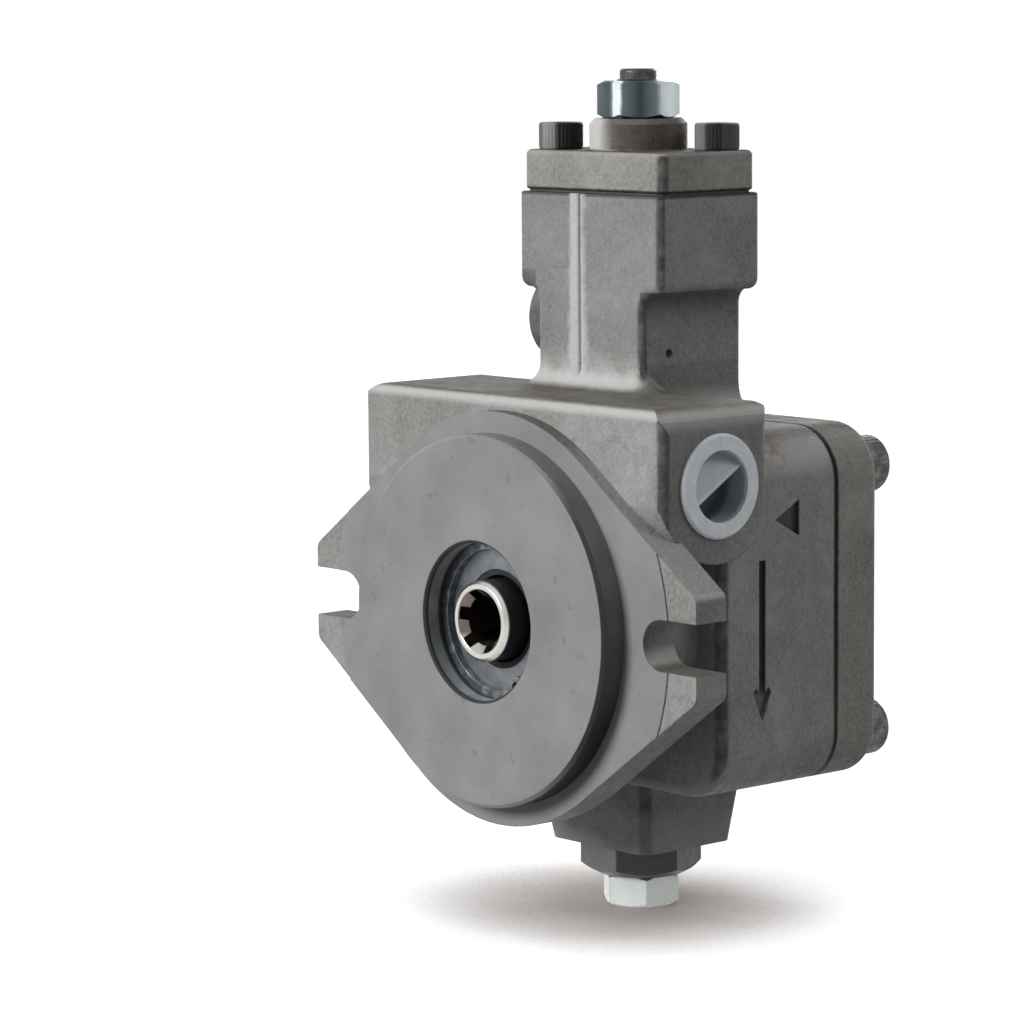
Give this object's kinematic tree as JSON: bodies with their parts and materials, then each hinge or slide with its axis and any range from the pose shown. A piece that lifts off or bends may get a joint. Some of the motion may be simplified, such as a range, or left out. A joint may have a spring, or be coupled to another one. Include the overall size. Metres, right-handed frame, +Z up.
{
  "type": "hydraulic vane pump",
  "caption": "Variable vane pump with a slotted oval flange and round pilot, splined hollow shaft, side ports, a compensator tower on top and a flow adjuster below.",
  "frame": {"origin": "on the shaft's axis, in the plane of the flange's mounting face", "axes": "-Y along the shaft, out of the pilot; +Z up through the compensator tower; +X towards the inlet"},
  "size_m": [0.126, 0.0876, 0.1898],
  "materials": {
    "cast_housing": "sand-cast iron, bare grey, machined on the flange",
    "cast_cover": "sand-cast iron, bare grey",
    "zinc_steel": "bright zinc-plated steel",
    "black_screws": "black-oxide steel",
    "phosphate_steel": "dark phosphate steel",
    "ground_steel": "ground hardened steel",
    "spring_steel": "oiled spring steel",
    "bearing_bronze": "turned bronze",
    "seal_steel": "pressed sheet steel",
    "nitrile_rubber": "black nitrile rubber",
    "gasket_fibre": "compressed fibre sheet",
    "plug_plastic": "milky translucent polyethylene"
  },
  "bodies": {
    "housing": {"body_casting": "cast_housing", "rear_cover": "cast_cover", "cover_screws": "black_screws", "cover_o_ring": "nitrile_rubber", "plate_dowels": "ground_steel", "front_side_plate": "bearing_bronze", "rear_side_plate": "bearing_bronze", "thrust_block": "ground_steel", "guide_block": "ground_steel", "front_bush": "bearing_bronze", "rear_bush": "bearing_bronze", "seal_case": "seal_steel", "seal_lip": "nitrile_rubber", "seal_garter": "spring_steel", "seal_circlip": "spring_steel", "compensator_spring": "spring_steel", "tower_cap": "cast_cover", "cap_gasket": "gasket_fibre", "cap_screws": "black_screws", "flow_plug": "phosphate_steel", "flow_plug_o_ring": "nitrile_rubber"},
    "shaft": {"drive_shaft": "ground_steel", "rotor_key": "ground_steel", "shaft_snap_ring": "spring_steel", "rotor": "ground_steel"},
    "vane_01": {"vane_01": "ground_steel"},
    "vane_02": {"vane_02": "ground_steel"},
    "vane_03": {"vane_03": "ground_steel"},
    "vane_04": {"vane_04": "ground_steel"},
    "vane_05": {"vane_05": "ground_steel"},
    "vane_06": {"vane_06": "ground_steel"},
    "vane_07": {"vane_07": "ground_steel"},
    "vane_08": {"vane_08": "ground_steel"},
    "vane_09": {"vane_09": "ground_steel"},
    "vane_10": {"vane_10": "ground_steel"},
    "vane_11": {"vane_11": "ground_steel"},
    "ring": {"cam_ring": "ground_steel", "compensator_piston": "ground_steel"},
    "seat": {"spring_seat": "ground_steel", "seat_o_ring": "nitrile_rubber"},
    "pressure_screw": {"pressure_screw": "zinc_steel"},
    "pressure_nut": {"pressure_lock_nut": "zinc_steel"},
    "plunger": {"stop_plunger": "ground_steel"},
    "flow_screw": {"flow_screw": "zinc_steel"},
    "flow_nut": {"flow_lock_nut": "zinc_steel"},
    "inlet_plug": {"inlet_plug": "plug_plastic"}
  },
  "joints": [
    {"name": "shaft_spin", "type": "hinge", "parent": "housing", "child": "shaft", "pos_m": [0, 0, 0], "axis": [0, 1, 0], "continuous": true},
    {"name": "vane_01_slide", "type": "slide", "parent": "shaft", "child": "vane_01", "axis": [-0.2817, 0, 0.9595], "range_m": [0, 0.0025]},
    {"name": "vane_02_slide", "type": "slide", "parent": "shaft", "child": "vane_02", "axis": [-0.7558, 0, 0.6549], "range_m": [0, 0.0025]},
    {"name": "vane_03_slide", "type": "slide", "parent": "shaft", "child": "vane_03", "axis": [-0.9898, 0, 0.1423], "range_m": [0, 0.0025]},
    {"name": "vane_04_slide", "type": "slide", "parent": "shaft", "child": "vane_04", "axis": [-0.9096, 0, -0.4154], "range_m": [0, 0.0025]},
    {"name": "vane_05_slide", "type": "slide", "parent": "shaft", "child": "vane_05", "axis": [-0.5406, 0, -0.8413], "range_m": [0, 0.0025]},
    {"name": "vane_06_slide", "type": "slide", "parent": "shaft", "child": "vane_06", "axis": [0, 0, -1], "range_m": [0, 0.0025]},
    {"name": "vane_07_slide", "type": "slide", "parent": "shaft", "child": "vane_07", "axis": [0.5406, 0, -0.8413], "range_m": [0, 0.0025]},
    {"name": "vane_08_slide", "type": "slide", "parent": "shaft", "child": "vane_08", "axis": [0.9096, 0, -0.4154], "range_m": [0, 0.0025]},
    {"name": "vane_09_slide", "type": "slide", "parent": "shaft", "child": "vane_09", "axis": [0.9898, 0, 0.1423], "range_m": [0, 0.0025]},
    {"name": "vane_10_slide", "type": "slide", "parent": "shaft", "child": "vane_10", "axis": [0.7557, 0, 0.6549], "range_m": [0, 0.0025]},
    {"name": "vane_11_slide", "type": "slide", "parent": "shaft", "child": "vane_11", "axis": [0.2817, 0, 0.9595], "range_m": [0, 0.0025]},
    {"name": "ring_slide", "type": "slide", "parent": "housing", "child": "ring", "axis": [0, 0, 1], "range_m": [-0.0025, 0], "deforming": ["compensator_spring"]},
    {"name": "seat_slide", "type": "slide", "parent": "housing", "child": "seat", "axis": [0, 0, 1], "range_m": [-0.003, 0.0045], "deforming": ["compensator_spring"]},
    {"name": "pressure_screw_turn", "type": "hinge", "parent": "seat", "child": "pressure_screw", "pos_m": [0, 0.0435, 0.1], "axis": [0, 0, 1], "range_deg": [-725, 1085]},
    {"name": "pressure_nut_turn", "type": "hinge", "parent": "housing", "child": "pressure_nut", "pos_m": [0, 0.0435, 0.113], "axis": [0, 0, 1], "range_deg": [0, 90]},
    {"name": "plunger_slide", "type": "slide", "parent": "housing", "child": "plunger", "axis": [0, 0, 1], "range_m": [-0.001, 0.0024]},
    {"name": "flow_screw_turn", "type": "hinge", "parent": "plunger", "child": "flow_screw", "pos_m": [0, 0.0435, -0.056], "axis": [0, 0, 1], "range_deg": [-245, 581]},
    {"name": "flow_nut_turn", "type": "hinge", "parent": "housing", "child": "flow_nut", "pos_m": [0, 0.0435, -0.066], "axis": [0, 0, -1], "range_deg": [0, 90]},
    {"name": "inlet_plug_lift", "type": "slide", "parent": "housing", "child": "inlet_plug", "axis": [1, 0, 0], "range_m": [0, 0.03]}
  ],
  "couplings": [
    {"joint": "pressure_screw_turn", "follows": "seat_slide", "rad_per_m": 4188.8},
    {"joint": "flow_screw_turn", "follows": "plunger_slide", "rad_per_m": 4188.8}
  ]
}
